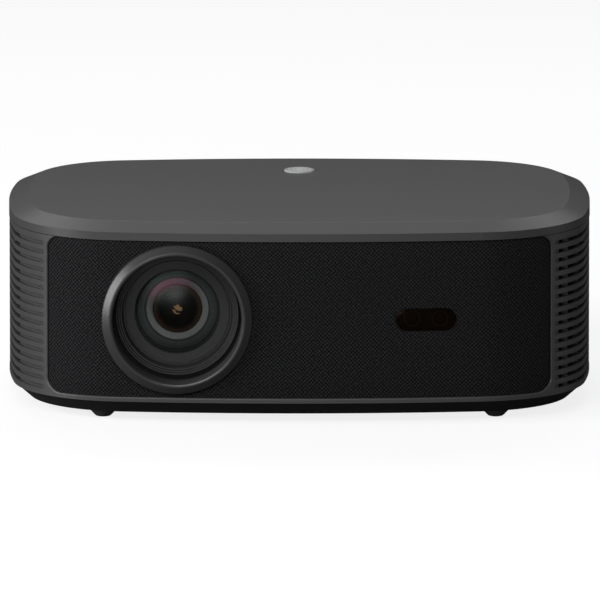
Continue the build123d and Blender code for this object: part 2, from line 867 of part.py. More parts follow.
with BuildPart() as main_chips:
    with BuildSketch(Plane.XY.offset(board_z + board_thick)):
        with Locations((-30, 25)):
            Rectangle(22, 22)
        with Locations((-56, 18), (-56, 34), (0, 20), (0, 40)):
            Rectangle(12, 9)
    extrude(amount=1.4)
keep(main_chips, "main_chips")

with BuildPart() as power_board:
    with BuildSketch(Plane.XY.offset(board_z)):
        with Locations((62.5, 65)):
            RectangleRounded(55, 38, 2)
        with Locations(*board_points[4:]):
            Circle(1.5, mode=Mode.SUBTRACT)
    extrude(amount=board_thick)
keep(power_board, "power_board")

with BuildPart() as transformer:
    with BuildSketch(Plane.XY.offset(socket_floor)):
        with Locations((82, 69)):
            RectangleRounded(14, 16, 1)
    extrude(amount=20)
    with BuildSketch(Plane.XY.offset(socket_floor + 4)):
        with Locations((82, 69)):
            RectangleRounded(17, 13, 3)
    extrude(amount=12)
keep(transformer, "transformer")

with BuildPart() as capacitors:
    with BuildSketch(Plane.XY.offset(socket_floor)):
        with Locations((49, 62.5), (58, 62.5)):
            Circle(3.8)
    extrude(amount=16)
keep(capacitors, "capacitors")

for name, (places, outer, opening, tongue, lift) in sockets.items():
    centre_z = socket_floor + outer[1] / 2
    with BuildPart() as socket_pair:
        with BuildSketch(upright(port_face)):
            with Locations(*[(x, centre_z) for x in places]):
                Rectangle(*outer)
        extrude(amount=14)
        with BuildSketch(upright(port_face)):
            with Locations(*[(x, centre_z) for x in places]):
                Rectangle(*opening)
            with Locations(*[(x, centre_z + lift) for x in places]):
                Rectangle(*tongue, mode=Mode.SUBTRACT)
        extrude(amount=11, mode=Mode.SUBTRACT)
    keep(socket_pair, name)

with BuildPart() as audio_jack:
    with BuildSketch(upright(port_face)):
        with Locations((jack_x, socket_floor + jack_size / 2)):
            Rectangle(jack_size, jack_size)
            Circle(jack_bore, mode=Mode.SUBTRACT)
    extrude(amount=14)
keep(audio_jack, "audio_jack")

with BuildPart() as mains_inlet:
    with BuildSketch(upright(port_face)):
        with Locations((inlet_x, inlet_z)):
            RectangleRounded(*inlet_size, 2)
    extrude(amount=20)
    with BuildSketch(upright(port_face)):
        with Locations((inlet_x, inlet_z)):
            SlotOverall(*inlet_slot)
    extrude(amount=13.5, mode=Mode.SUBTRACT)
    with BuildSketch(upright(port_face)):
        with Locations((inlet_x - 3.3, inlet_z), (inlet_x + 3.3, inlet_z)):
            Circle(1.2)
    extrude(amount=20.5, mode=Mode.SUBTRACT)
keep(mains_inlet, "mains_inlet")

with BuildPart() as inlet_pins:
    with BuildSketch(upright(port_face - 5.5)):
        with Locations((inlet_x - 3.3, inlet_z), (inlet_x + 3.3, inlet_z)):
            Circle(1.2)
    extrude(amount=17)
keep(inlet_pins, "inlet_pins")

# ---- Sensors, button and fasteners ----

eye_front = -89.6
sensor_y = -82.0
for name, side, radius in (("camera_module", -1, 4.0), ("distance_module", 1, 4.0)):
    with BuildPart() as eye:
        with BuildSketch(upright(sensor_y)):
            with Locations((window_x + side * eye_spacing / 2, window_z)):
                Circle(radius)
        extrude(amount=sensor_y - eye_front)
        with BuildSketch(upright(eye_front)):
            with Locations((window_x + side * eye_spacing / 2, window_z)):
                Circle(radius - 1.2)
        extrude(amount=-1.5, mode=Mode.SUBTRACT)
    keep(eye, name)

with BuildPart() as sensor_board:
    with BuildSketch(upright(sensor_y + 1.2)):
        with Locations((window_x, window_z)):
            Rectangle(34, 18)
    extrude(amount=1.2)
keep(sensor_board, "sensor_board")

button_top = height + 0.6
flange_top = height - wall - 2.6 - 0.2
with BuildPart() as power_button:
    with BuildSketch(Plane.XY.offset(flange_top - 1.2)):
        with Locations((0, button_y)):
            Circle(button_radius + 1.4)
    extrude(amount=1.2)
    with BuildSketch(Plane.XY.offset(flange_top - 0.5)):
        with Locations((0, button_y)):
            Circle(button_radius)
    extrude(amount=button_top - flange_top + 0.5)
    chamfer(power_button.edges().group_by(Axis.Z)[-1], length=0.3)
    with BuildSketch(Plane.XY.offset(flange_top - 2)):
        with Locations((0, button_y)):
            Circle(1.5)
    extrude(amount=1)
keep(power_button, "power_button")

switch_top = flange_top - 2 - button_travel - 0.1
with BuildPart() as tact_switch:
    with BuildSketch(Plane.XY.offset(switch_top - 2.4)):
        with Locations((0, button_y)):
            Rectangle(6, 6)
    extrude(amount=1.8)
    with BuildSketch(Plane.XY.offset(switch_top - 1)):
        with Locations((0, button_y)):
            Circle(1.7)
    extrude(amount=1)
keep(tact_switch, "tact_switch")

with BuildPart() as button_board:
    with BuildSketch(Plane.XY.offset(switch_top - 3.6)):
        with Locations((0, button_y)):
            Rectangle(30, 16)
    extrude(amount=1.2)
keep(button_board, "button_board")

with BuildPart() as casing_screws:
    for points, head_z, head_radius in ((base_points, foot_height + 0.3, 2.8), (cover_points, 78.2, 2.6)):
        with BuildSketch(Plane.XY.offset(head_z)):
            with Locations(*points):
                Circle(head_radius)
        extrude(amount=1.7)
        with BuildSketch(Plane.XY.offset(head_z + 1)):
            with Locations(*points):
                Circle(1.2)
        extrude(amount=7.2)
keep(casing_screws, "casing_screws")

with BuildPart() as inner_screws:
    with BuildSketch(Plane.XY.offset(socket_floor)):
        with Locations(*board_points):
            Circle(2.4)
    extrude(amount=1.4)
    with BuildSketch(Plane.XY.offset(socket_floor - 5)):
        with Locations(*board_points):
            Circle(1.1)
    extrude(amount=5.5)
    with BuildSketch(upright(engine_front - 4)):
        with Locations(*flange_points):
            Circle(2.6)
    extrude(amount=1.8)
    with BuildSketch(upright(engine_front + 1.8)):
        with Locations(*flange_points):
            Circle(1.15)
    extrude(amount=6.5)
keep(inner_screws, "inner_screws")

# Lead held inside: the points of its route, with arcs as large as its runs allow.
lead_radius = 1.0
lead_route = [(92, -48, 38), (84, -44, 26), (66, -38, 18), (46, -36, 17), (29, -36, 17)]
with BuildPart() as speaker_lead:
    with BuildLine():
        path = FilletPolyline(*lead_route, radius=4)
    with BuildSketch(Plane(path @ 0, z_dir=path % 0)):
        Circle(lead_radius)
    sweep(path=path)
keep(speaker_lead, "speaker_lead")
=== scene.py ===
import math

import bmesh
import bpy
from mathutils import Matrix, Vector


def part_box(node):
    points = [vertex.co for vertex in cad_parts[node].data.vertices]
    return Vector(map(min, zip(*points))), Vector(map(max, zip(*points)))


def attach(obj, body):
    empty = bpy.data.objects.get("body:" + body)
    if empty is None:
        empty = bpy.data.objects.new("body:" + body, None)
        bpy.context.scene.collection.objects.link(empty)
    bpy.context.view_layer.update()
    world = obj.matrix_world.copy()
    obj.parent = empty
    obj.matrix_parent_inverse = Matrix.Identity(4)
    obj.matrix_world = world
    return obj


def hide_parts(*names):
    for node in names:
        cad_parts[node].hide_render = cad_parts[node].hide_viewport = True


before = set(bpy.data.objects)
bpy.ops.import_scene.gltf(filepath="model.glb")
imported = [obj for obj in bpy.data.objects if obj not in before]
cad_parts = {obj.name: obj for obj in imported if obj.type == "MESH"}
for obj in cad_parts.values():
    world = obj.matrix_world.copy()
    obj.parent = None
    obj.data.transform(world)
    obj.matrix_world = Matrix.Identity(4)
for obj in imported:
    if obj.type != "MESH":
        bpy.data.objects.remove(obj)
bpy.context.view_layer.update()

mm = 0.001
print("frame loaded,", len(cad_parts), "nodes")

# camera: long lens, a little above level, at the middle of the casing
camera = {"aim": (0.27, 1.0, 43.1), "elevation": 10.5, "viewWidth": 289.7, "lens": 1000, "sensor": 36}
cameraData = bpy.data.cameras.new("camera")
cameraData.lens = camera["lens"]
cameraData.sensor_width = camera["sensor"]
cameraData.clip_start, cameraData.clip_end = 0.1, 60
cameraObject = bpy.data.objects.new("camera", cameraData)
bpy.context.scene.collection.objects.link(cameraObject)
away = camera["viewWidth"] * mm * camera["lens"] / camera["sensor"]
tilt = math.radians(camera["elevation"])
cameraObject.location = Vector(camera["aim"]) * mm + Vector((0, -math.cos(tilt), math.sin(tilt))) * away
cameraObject.rotation_euler = (math.pi / 2 - tilt, 0, 0)
bpy.context.scene.camera = cameraObject


def hexColour(code, alpha=1.0):
    # sRGB hex to the linear numbers that the sockets take
    parts = [int(code[i:i + 2], 16) / 255 for i in (0, 2, 4)]
    linear = [p / 12.92 if p <= 0.04045 else ((p + 0.055) / 1.055) ** 2.4 for p in parts]
    return (*linear, alpha)


def addNode(tree, kind, settings=None, links=None):
    node = tree.nodes.new(kind)
    for name, value in (settings or {}).items():
        if isinstance(name, str) and hasattr(node, name):
            setattr(node, name, value)
        else:
            node.inputs[name].default_value = value
    for name, output in (links or {}).items():
        tree.links.new(output, node.inputs[name])
    return node


def newMaterial(name):
    material = bpy.data.materials.new(name)
    material.use_nodes = True
    material.node_tree.nodes.clear()
    return material, material.node_tree


def finishMaterial(tree, shader):
    addNode(tree, "ShaderNodeOutputMaterial", links={"Surface": shader.outputs[0]})


def radiusFrom(tree, centre, axis):
    # distance from a turning axis in metres, from the object's own coordinates with the axis squashed flat
    place = addNode(tree, "ShaderNodeTexCoord").outputs["Object"]
    shift = addNode(tree, "ShaderNodeVectorMath", {"operation": "SUBTRACT", 1: centre}, {0: place})
    flat = addNode(tree, "ShaderNodeVectorMath", {"operation": "MULTIPLY", 1: axis}, {0: shift.outputs[0]})
    length = addNode(tree, "ShaderNodeVectorMath", {"operation": "LENGTH"}, {0: flat.outputs[0]})
    return length.outputs["Value"]


def ringColours(tree, radius, look):
    # colour by distance from the axis; look["rings"] holds (millimetres, colour), the two ends first
    along = addNode(
        tree, "ShaderNodeMapRange",
        {"From Min": 0.0, "From Max": look["reach"] * mm, "To Min": 0.0, "To Max": 1.0},
        {"Value": radius},
    )
    ramp = addNode(tree, "ShaderNodeValToRGB", links={0: along.outputs[0]})
    stops = ramp.color_ramp.elements
    for step, (at, code) in enumerate(look["rings"]):
        stop = stops[step] if step < 2 else stops.new(at / look["reach"])
        stop.position = at / look["reach"]
        stop.color = hexColour(code)
    return ramp.outputs[0]


def paint(nodeNames, material):
    for name in nodeNames:
        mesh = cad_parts[name].data
        mesh.materials.clear()
        mesh.materials.append(material)


def mouldedPlastic(name, look):
    # injection-moulded plastic: an even colour with faint clouding and a fine spark-eroded grain
    material, tree = newMaterial(name)
    place = addNode(tree, "ShaderNodeTexCoord").outputs["Object"]
    cloud = addNode(tree, "ShaderNodeTexNoise", {"Scale": 1 / (40 * mm), "Detail": 3.0}, {"Vector": place})
    colour = addNode(
        tree, "ShaderNodeMix",
        {"data_type": "RGBA", 6: hexColour(look["dark"]), 7: hexColour(look["light"])},
        {0: cloud.outputs[0]},
    )
    grain = addNode(
        tree, "ShaderNodeTexNoise", {"Scale": 1 / (look["grain"] * mm), "Detail": 2.0}, {"Vector": place}
    )
    rough = addNode(
        tree, "ShaderNodeMapRange", {"To Min": look["rough"] - 0.05, "To Max": look["rough"] + 0.05},
        {"Value": grain.outputs[0]},
    )
    bump = addNode(
        tree, "ShaderNodeBump", {"Strength": 0.4, "Distance": look["height"] * mm},
        {"Height": grain.outputs[0]},
    )
    shader = addNode(
        tree, "ShaderNodeBsdfPrincipled", {"IOR": look["ior"]},
        {"Base Color": colour.outputs[2], "Roughness": rough.outputs[0], "Normal": bump.outputs[0]},
    )
    finishMaterial(tree, shader)
    return material


def wovenCloth(name, look):
    # acoustic grille cloth: a basket weave of flat polyester threads, uneven from thread to thread, with
    # painted highlights on the thread tops and painted shade in the hollows
    material, tree = newMaterial(name)
    sheet = addNode(tree, "ShaderNodeUVMap", {"uv_map": "weave"})
    drift = addNode(
        tree, "ShaderNodeTexNoise", {"Scale": 1 / (look["drift"] * mm), "Detail": 1.0},
        {"Vector": sheet.outputs[0]},
    )
    wander = addNode(
        tree, "ShaderNodeVectorMath", {"operation": "MULTIPLY_ADD", 1: (look["wander"] * mm,) * 3},
        {0: drift.outputs["Color"], 2: sheet.outputs[0]},
    )
    split = addNode(tree, "ShaderNodeSeparateXYZ", links={0: wander.outputs[0]})
    waves = []
    for axis in ("X", "Y"):
        turn = addNode(
            tree, "ShaderNodeMath", {"operation": "MULTIPLY", 1: math.pi / (look["thread"] * mm)},
            {0: split.outputs[axis]},
        )
        waves.append(
            addNode(tree, "ShaderNodeMath", {"operation": "SINE"}, {0: turn.outputs[0]}).outputs[0]
        )
    crossing = addNode(tree, "ShaderNodeMath", {"operation": "MULTIPLY"}, {0: waves[0], 1: waves[1]})
    height = addNode(
        tree, "ShaderNodeMapRange", {"From Min": -1.0, "From Max": 1.0, "To Min": 0.0, "To Max": 1.0},
        {"Value": crossing.outputs[0]},
    )
    fluff = addNode(
        tree, "ShaderNodeTexNoise", {"Scale": 1 / (look["fluff"] * mm), "Detail": 2.0},
        {"Vector": sheet.outputs[0]},
    )
    uneven = addNode(
        tree, "ShaderNodeMapRange",
        {"From Min": 0.3, "From Max": 0.7, "To Min": 1 - look["uneven"], "To Max": 1 + look["uneven"]},
        {"Value": fluff.outputs[0]},
    )
    threadHeightAndHighlight = addNode(
        tree, "ShaderNodeMath", {"operation": "MULTIPLY"}, {0: height.outputs[0], 1: uneven.outputs[0]}
    )
    # painted highlight and shade: the weave's height sets the colour, light on thread tops and dark in the
    # hollows; the same height drives the bump
    ramp = addNode(tree, "ShaderNodeValToRGB", links={0: threadHeightAndHighlight.outputs[0]})
    ramp.color_ramp.elements[0].position, ramp.color_ramp.elements[1].position = look["ends"]
    ramp.color_ramp.elements[0].color = hexColour(look["dark"])
    ramp.color_ramp.elements[1].color = hexColour(look["light"])
    bump = addNode(
        tree, "ShaderNodeBump", {"Strength": look["strength"], "Distance": look["relief"] * mm},
        {"Height": threadHeightAndHighlight.outputs[0]},
    )
    shader = addNode(
        tree, "ShaderNodeBsdfPrincipled", {"Roughness": 0.85, "IOR": 1.25},
        {"Base Color": ramp.outputs[0], "Normal": bump.outputs[0]},
    )
    finishMaterial(tree, shader)
    return material


def turnedSurface(name, look):
    # lathe-turned surface: fine circles round the axis and a colour that changes with the radius
    material, tree = newMaterial(name)
    radius = radiusFrom(tree, look["centre"], look["flatten"])
    circles = addNode(
        tree, "ShaderNodeMath", {"operation": "MULTIPLY", 1: 2 * math.pi / (look["pitch"] * mm)}, {0: radius}
    )
    ridge = addNode(tree, "ShaderNodeMath", {"operation": "SINE"}, {0: circles.outputs[0]})
    place = addNode(tree, "ShaderNodeTexCoord").outputs["Object"]
    speck = addNode(tree, "ShaderNodeTexNoise", {"Scale": 1 / (0.6 * mm), "Detail": 3.0}, {"Vector": place})
    shade = addNode(
        tree, "ShaderNodeMix", {"data_type": "RGBA", "blend_type": "MULTIPLY", 0: look["speck"]},
        {6: ringColours(tree, radius, look), 7: speck.outputs[0]},
    )
    bump = addNode(
        tree, "ShaderNodeBump", {"Strength": look["strength"], "Distance": look["relief"] * mm},
        {"Height": ridge.outputs[0]},
    )
    shader = addNode(
        tree, "ShaderNodeBsdfPrincipled",
        {"Roughness": look["rough"], "Metallic": look["metal"], "IOR": 1.5},
        {"Base Color": shade.outputs[2], "Normal": bump.outputs[0]},
    )
    finishMaterial(tree, shader)
    return material


def coatedGlass(name, look, paintedTintFrom=3, paintedTintFull=8):
    # polished glass with a thin anti-reflection coating: clear straight on, with weak reflections of one
    # tint; from one height above the axis to another, in millimetres, the reflections turn to painted
    # coloured rings, a painted reflection colour
    material, tree = newMaterial(name)
    radius = radiusFrom(tree, look["centre"], (1.0, 0.0, 1.0))
    place = addNode(tree, "ShaderNodeTexCoord").outputs["Object"]
    height = addNode(tree, "ShaderNodeSeparateXYZ", links={0: place}).outputs["Z"]
    # painted reflection colour: between the two heights above the axis, the mirror's colour blends from the
    # plain tint into the coloured rings
    tintAboveAxis = addNode(
        tree, "ShaderNodeMapRange",
        {"From Min": look["centre"].z + paintedTintFrom * mm, "From Max": look["centre"].z + paintedTintFull * mm},
        {"Value": height},
    )
    paintedReflectionTint = addNode(
        tree, "ShaderNodeMix", {"data_type": "RGBA", 6: hexColour(look["plain"])},
        {0: tintAboveAxis.outputs[0], 7: ringColours(tree, radius, look)},
    )
    clear = addNode(tree, "ShaderNodeBsdfTransparent", {"Color": hexColour(look["clear"])})
    mirror = addNode(
        tree, "ShaderNodeBsdfPrincipled", {"Metallic": 1.0, "Roughness": look["rough"]},
        {"Base Color": paintedReflectionTint.outputs[2]},
    )
    bend = addNode(tree, "ShaderNodeFresnel", {"IOR": look["ior"]})
    shader = addNode(
        tree, "ShaderNodeMixShader", links={0: bend.outputs[0], 1: clear.outputs[0], 2: mirror.outputs[0]}
    )
    finishMaterial(tree, shader)
    return material


def stackedGlass(name, look):
    # lens groups in a dark barrel: almost black, with a warm ring at the rim and a painted highlight, a gold
    # glint, near the axis
    material, tree = newMaterial(name)
    radius = radiusFrom(tree, look["centre"], (1.0, 0.0, 1.0))
    place = addNode(tree, "ShaderNodeTexCoord").outputs["Object"]
    # painted highlight: noise patches within the glint radius of the axis are coloured as a gold glint
    patch = addNode(
        tree, "ShaderNodeTexNoise", {"Scale": 1 / (look["glintSize"] * mm), "Detail": 1.0}, {"Vector": place}
    )
    bright = addNode(
        tree, "ShaderNodeMath", {"operation": "GREATER_THAN", 1: look["glintCut"]}, {0: patch.outputs[0]}
    )
    near = addNode(tree, "ShaderNodeMath", {"operation": "LESS_THAN", 1: look["glint"] * mm}, {0: radius})
    mask = addNode(
        tree, "ShaderNodeMath", {"operation": "MULTIPLY"}, {0: bright.outputs[0], 1: near.outputs[0]}
    )
    colour = addNode(
        tree, "ShaderNodeMix", {"data_type": "RGBA", 7: hexColour(look["glintTone"])},
        {0: mask.outputs[0], 6: ringColours(tree, radius, look)},
    )
    shader = addNode(
        tree, "ShaderNodeBsdfPrincipled", {"Roughness": look["rough"], "IOR": 1.2},
        {"Base Color": colour.outputs[2]},
    )
    finishMaterial(tree, shader)
    return material


def bareMetal(name, look):
    # plain sheet, bar or plated metal: fine brushed lines and slight staining
    material, tree = newMaterial(name)
    place = addNode(tree, "ShaderNodeTexCoord").outputs["Object"]
    stretch = addNode(tree, "ShaderNodeMapping", {"Scale": look["brush"]}, {"Vector": place})
    lines = addNode(
        tree, "ShaderNodeTexNoise", {"Scale": 1 / (0.8 * mm), "Detail": 2.0}, {"Vector": stretch.outputs[0]}
    )
    stain = addNode(tree, "ShaderNodeTexNoise", {"Scale": 1 / (12 * mm), "Detail": 2.0}, {"Vector": place})
    colour = addNode(
        tree, "ShaderNodeMix",
        {"data_type": "RGBA", 6: hexColour(look["dark"]), 7: hexColour(look["light"])},
        {0: stain.outputs[0]},
    )
    rough = addNode(
        tree, "ShaderNodeMapRange", {"To Min": look["rough"] - 0.08, "To Max": look["rough"] + 0.08},
        {"Value": lines.outputs[0]},
    )
    bump = addNode(
        tree, "ShaderNodeBump", {"Strength": 0.2, "Distance": 0.01 * mm}, {"Height": lines.outputs[0]}
    )
    shader = addNode(
        tree, "ShaderNodeBsdfPrincipled", {"Metallic": 1.0},
        {"Base Color": colour.outputs[2], "Roughness": rough.outputs[0], "Normal": bump.outputs[0]},
    )
    finishMaterial(tree, shader)
    return material


def solderMask(name, look):
    # glass-epoxy board under green lacquer: straight copper tracks show as paler lines
    material, tree = newMaterial(name)
    place = addNode(tree, "ShaderNodeTexCoord").outputs["Object"]
    cells = addNode(
        tree, "ShaderNodeTexVoronoi", {"distance": "CHEBYCHEV", "Scale": 1 / (look["track"] * mm)},
        {"Vector": place},
    )
    edge = addNode(
        tree, "ShaderNodeMath", {"operation": "GREATER_THAN", 1: look["edge"]},
        {0: cells.outputs["Distance"]},
    )
    colour = addNode(
        tree, "ShaderNodeMix",
        {"data_type": "RGBA", 6: hexColour(look["dark"]), 7: hexColour(look["light"])},
        {0: edge.outputs[0]},
    )
    bump = addNode(
        tree, "ShaderNodeBump", {"Strength": 0.3, "Distance": 0.03 * mm}, {"Height": edge.outputs[0]}
    )
    shader = addNode(
        tree, "ShaderNodeBsdfPrincipled", {"Roughness": 0.3, "IOR": 1.5, "Coat Weight": 0.3},
        {"Base Color": colour.outputs[2], "Normal": bump.outputs[0]},
    )
    finishMaterial(tree, shader)
    return material


lensPlace = (-58.4, 51.3)  # millimetres across and up
lensCentre = Vector((lensPlace[0], 0.0, lensPlace[1])) * mm
buttonCentre = Vector((0.0, 55.0, 0.0)) * mm
# each: darker and lighter colour, roughness, grain width and height in millimetres, IOR
plastics = {
    "charcoalAbs": ("434344", "474748", 0.42, 0.5, 0.02, 1.46),
    # the plinth's plastic is darker than the casing's, partly as painted shade for its downward-facing faces
    "plinthAbsAndShade": ("222223", "262627", 0.55, 0.6, 0.02, 1.3),
    "blackAbs": ("0e0e0f", "131314", 0.55, 0.6, 0.02, 1.4),
    "satinRing": ("363637", "3a3a3b", 0.34, 0.3, 0.008, 1.5),
    "footRubber": ("444444", "4c4c4c", 0.75, 0.4, 0.05, 1.4),
    "chipEpoxy": ("121212", "1a1a1b", 0.6, 0.3, 0.03, 1.5),
    "filterFoam": ("0c0c0c", "2a2a2a", 0.95, 1.2, 0.6, 1.3),
    "conePaper": ("1c1c1c", "262625", 0.85, 0.8, 0.12, 1.3),
    "eyeRim": ("8a8784", "96938f", 0.5, 0.3, 0.01, 1.5),
    "leadPvc": ("2c2c2c", "343434", 0.5, 0.5, 0.02, 1.5),
}
columns = ("dark", "light", "rough", "grain", "height", "ior")
made = {name: mouldedPlastic(name, dict(zip(columns, row))) for name, row in plastics.items()}
metals = {
    "platedSteel": {"dark": "8d8e90", "light": "a4a5a7", "rough": 0.35, "brush": (1, 1, 12)},
    "turnedBrass": {"dark": "a88548", "light": "c09c58", "rough": 0.3, "brush": (1, 1, 20)},
    "bareCopper": {"dark": "a5674a", "light": "bd7a58", "rough": 0.35, "brush": (1, 8, 1)},
    "extrudedAluminium": {"dark": "a9abad", "light": "bcbec0", "rough": 0.4, "brush": (0.1, 1, 1)},
    "silveredMirror": {"dark": "d8dadc", "light": "e2e4e6", "rough": 0.12, "brush": (1, 1, 1)},
}
made.update({name: bareMetal(name, look) for name, look in metals.items()})
made["circuitBoard"] = solderMask(
    "circuitBoard", {"dark": "0e3a22", "light": "1d5434", "track": 1.6, "edge": 0.42}
)
# the cloth's dark and light colours are the painted shade of the hollows and the painted highlight of the
# thread tops
made["grilleCloth"] = wovenCloth(
    "grilleCloth",
    {
        "thread": 0.95, "drift": 5.0, "wander": 0.9, "fluff": 1.1, "uneven": 0.45, "ends": (0.2, 0.95),
        "dark": "020203", "light": "2d2d2f", "strength": 0.6, "relief": 0.25,
    },
)
# anodised aluminium lens parts: near black, with turning marks half a millimetre apart
made["anodisedBlack"] = turnedSurface(
    "anodisedBlack",
    {
        "centre": lensCentre, "flatten": (1, 0, 1), "pitch": 0.45, "reach": 40, "speck": 0.25,
        "strength": 0.25,
        "relief": 0.03, "rough": 0.42, "metal": 0.0,
        "rings": [(0, "2e2e2f"), (40, "343435")],
    },
)
made["baffleBlack"] = turnedSurface(
    "baffleBlack",
    {
        "centre": lensCentre, "flatten": (1, 0, 1), "pitch": 0.8, "reach": 30, "speck": 0.5,
        "strength": 0.3,
        "relief": 0.05, "rough": 0.6, "metal": 0.0,
        "rings": [(0, "141212"), (30, "18191a"), (11.8, "4a423e"), (12.1, "9c9e9e"), (14.6, "a2a4a4"),
                  (15.1, "101111"), (15.7, "5c6463"), (19.3, "4a5150")],
    },
)
made["spunAluminium"] = turnedSurface(
    "spunAluminium",
    {
        "centre": buttonCentre, "flatten": (1, 1, 0), "pitch": 1.5, "reach": 10, "speck": 0.1,
        "strength": 0.5,
        "relief": 0.12, "rough": 0.36, "metal": 0.0,
        "rings": [(0, "e4e5e6"), (10, "dadbdc"), (1.4, "f4f4f5"), (2.2, "b8b9ba"), (3.2, "f0f0f1"),
                  (4.1, "b4b5b6"), (5.2, "eaebec"), (6.2, "b8b9ba")],
    },
)
# anti-reflection coated crown glass: clear, with its reflections painted magenta in a ring above the axis, a
# painted reflection colour
made["coatedGlass"] = coatedGlass(
    "coatedGlass",
    {
        "centre": lensCentre, "reach": 23, "rough": 0.2, "ior": 1.42, "clear": "f8f8f8", "plain": "7d8784",
        "rings": [(0, "9aa39f"), (23, "6f8a82"), (11.8, "a3a9a7"), (12.6, "c9809f"), (15.6, "cd86a4"),
                  (16.4, "7b918a")],
    },
)
# the glint keys set the painted gold highlight: its radius, patch size, threshold and colour
made["innerGlass"] = stackedGlass(
    "innerGlass",
    {
        "centre": lensCentre, "reach": 14, "rough": 0.3, "glint": 2.3, "glintSize": 2.2, "glintCut": 0.48,
        "glintTone": "a8875c",
        "rings": [(0, "17100c"), (14, "0a0909"), (4.5, "120d0b"), (8.6, "0f0c0b"), (9.6, "2b1f19"),
                  (11.2, "4a3a30"), (11.9, "151110")],
    },
)
made["smokedAcrylic"] = coatedGlass(
    "smokedAcrylic",
    {
        "centre": lensCentre, "reach": 140, "rough": 0.2, "ior": 1.45, "clear": "b09a8a", "plain": "c8a894",
        "rings": [(0, "c8a894"), (140, "c8a894")],
    },
)
print("materials made,", len(made))

finishes = {
    "charcoalAbs": ["top_cover", "mid_shell"],
    "plinthAbsAndShade": ["base_plate", "rear_panel"],
    "platedSteel": [
        "focus_bracket", "focus_screw", "focus_motor", "speaker_left", "speaker_right", "hdmi_sockets",
        "usb_sockets",
        "casing_screws", "inner_screws",
    ],
    "turnedBrass": ["tripod_insert", "inlet_pins"],
    "bareCopper": ["led_module"],
    "extrudedAluminium": ["heat_sink", "capacitors"],
    "silveredMirror": ["fold_mirror"],
    "circuitBoard": ["main_board", "power_board", "sensor_board", "button_board"],
    "chipEpoxy": ["main_chips", "transformer", "camera_module", "distance_module", "tact_switch"],
    "filterFoam": ["dust_filter"],
    "conePaper": ["speaker_cones"],
    "leadPvc": ["speaker_lead"],
    "footRubber": ["front_feet", "rear_feet"],
    "satinRing": ["lens_trim_ring"],
    "anodisedBlack": ["lens_front_ring", "lens_barrel", "lens_spacer"],
    "baffleBlack": ["lens_baffle"],
    "coatedGlass": ["front_lens", "field_lens", "heat_glass", "condenser_lens", "collimator_lens"],
    "innerGlass": ["middle_lens", "rear_lens", "lcd_panel"],
    "smokedAcrylic": ["sensor_window"],
    "spunAluminium": ["power_button"],
}
finished = {node for nodes in finishes.values() for node in nodes}
for name, nodes in finishes.items():
    paint(nodes, made[name])
paint([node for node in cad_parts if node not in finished], made["blackAbs"])


def newPiece(name, mesh, material, body, replaced=(), crease=35):
    data = bpy.data.meshes.new(name)
    mesh.to_mesh(data)
    mesh.free()
    data.materials.append(made[material])
    data.shade_smooth()
    data.set_sharp_from_angle(angle=math.radians(crease))
    piece = bpy.data.objects.new(name, data)
    bpy.context.scene.collection.objects.link(piece)
    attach(piece, body)
    if replaced:
        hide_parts(*replaced)
    return piece


def turnProfile(mesh, profile, centre, axis, turns=120):
    # spins a profile of (distance along the axis, radius) in millimetres about an axis through centre;
    # a profile that starts and ends on the axis is left open there
    along = Vector(axis)
    across = Vector((0, 0, 1)) if abs(along.z) < 0.5 else Vector((1, 0, 0))
    corners = [mesh.verts.new(centre + along * a * mm + across * r * mm) for a, r in profile]
    links = len(corners) if profile[0][1] else len(corners) - 1
    edges = [mesh.edges.new((corners[i], corners[(i + 1) % len(corners)])) for i in range(links)]
    bmesh.ops.spin(
        mesh, geom=corners + edges, cent=centre, axis=along, angle=2 * math.pi, steps=turns, use_merge=True
    )


def closeMesh(mesh):
    # merges the points that a spin leaves on its axis and turns every face outwards
    bmesh.ops.remove_doubles(mesh, verts=mesh.verts, dist=0.0005 * mm)
    bmesh.ops.dissolve_degenerate(mesh, edges=mesh.edges, dist=0.0002 * mm)
    bmesh.ops.recalc_face_normals(mesh, faces=mesh.faces)


# plan of the casing, which the cloth and the window follow
plan = {"halfDepth": 97.5, "corner": 57.0, "cornerX": 80.5, "cornerY": 35.75, "middleY": 1.0}


def frontArc():
    room = plan["halfDepth"] - plan["cornerY"]
    return (plan["cornerX"] ** 2 + room ** 2 - plan["corner"] ** 2) / (2 * (room - plan["corner"]))


def frontPoint(x, inset):
    # depth of the casing's front at x, and the distance along it from the middle, in millimetres
    arc = frontArc()
    turn = math.asin(plan["cornerX"] / (arc - plan["corner"]))
    side = abs(x)
    if side <= (arc - inset) * math.sin(turn):
        angle = math.asin(side / (arc - inset))
        depth = arc - plan["halfDepth"] - (arc - inset) * math.cos(angle)
        run = (arc - inset) * angle
    else:
        angle = math.asin(min(1.0, (side - plan["cornerX"]) / (plan["corner"] - inset)))
        depth = -plan["cornerY"] - (plan["corner"] - inset) * math.cos(angle)
        run = (arc - inset) * turn + (plan["corner"] - inset) * (angle - turn)
    return plan["middleY"] + depth, math.copysign(run, x)


